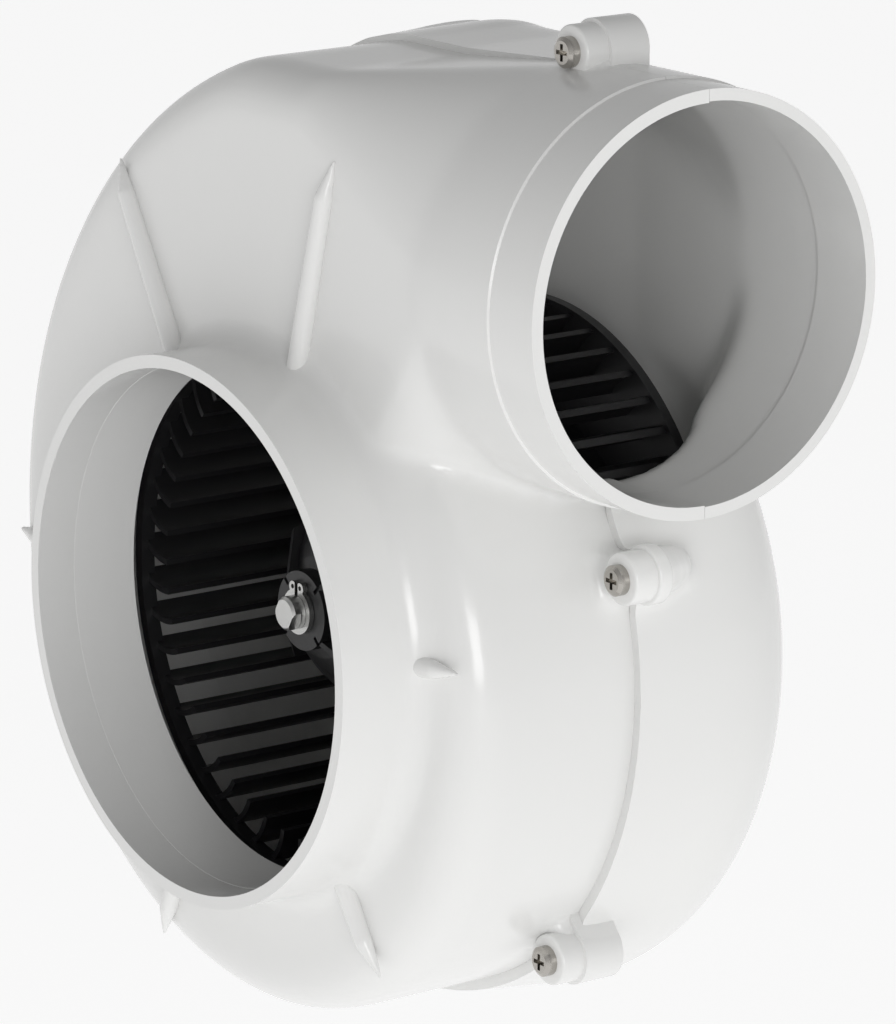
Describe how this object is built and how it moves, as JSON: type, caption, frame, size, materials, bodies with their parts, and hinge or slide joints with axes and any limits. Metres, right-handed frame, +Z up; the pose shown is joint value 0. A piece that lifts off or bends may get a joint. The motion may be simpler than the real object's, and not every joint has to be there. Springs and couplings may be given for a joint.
{
  "type": "blower",
  "caption": "Scroll-cased centrifugal DC blower: round front inlet collar, round side outlet spout, black drum impeller and a motor nested in its hub.",
  "frame": {"origin": "centre of the inlet collar's rim, on the impeller axis", "axes": "+Y along the impeller axis from the inlet into the blower, +X the way the air leaves the outlet spout, +Z up"},
  "size_m": [0.1807, 0.114, 0.1958],
  "materials": {
    "white_shell": "glossy moulded white ABS, lightly orange-peeled",
    "black_nylon": "satin black glass-filled nylon",
    "stainless": "bright stainless fastener",
    "spring_steel": "bright spring steel",
    "steel": "ground steel",
    "zinc_steel": "zinc-plated pressed steel",
    "brass": "turned brass",
    "copper": "copper",
    "ferrite": "sintered ferrite, matt dark grey",
    "carbon": "pressed carbon",
    "fibre": "pressed fibre",
    "black_rubber": "black rubber"
  },
  "bodies": {
    "housing": {"front_housing": "white_shell", "rear_housing": "white_shell", "housing_screws": "stainless", "mounting_inserts": "brass", "motor_can": "zinc_steel", "front_end_bell": "zinc_steel", "rear_end_bell": "black_nylon", "motor_magnets": "ferrite", "front_bearing": "steel", "rear_bearing": "steel", "brush_holders": "brass", "carbon_brushes": "carbon", "brush_springs": "spring_steel", "terminals": "brass", "through_bolts": "zinc_steel", "motor_flange": "zinc_steel", "flange_gasket": "black_rubber", "flange_screws": "stainless"},
    "rotor": {"impeller": "black_nylon", "hub_bush": "brass", "retaining_ring": "spring_steel", "motor_shaft": "steel", "armature_core": "zinc_steel", "armature_windings": "copper", "commutator": "copper", "thrust_washers": "fibre"}
  },
  "joints": [
    {"name": "impeller_spin", "type": "hinge", "parent": "housing", "child": "rotor", "pos_m": [0, 0.0552, 0], "axis": [0, 1, 0], "continuous": true}
  ]
}
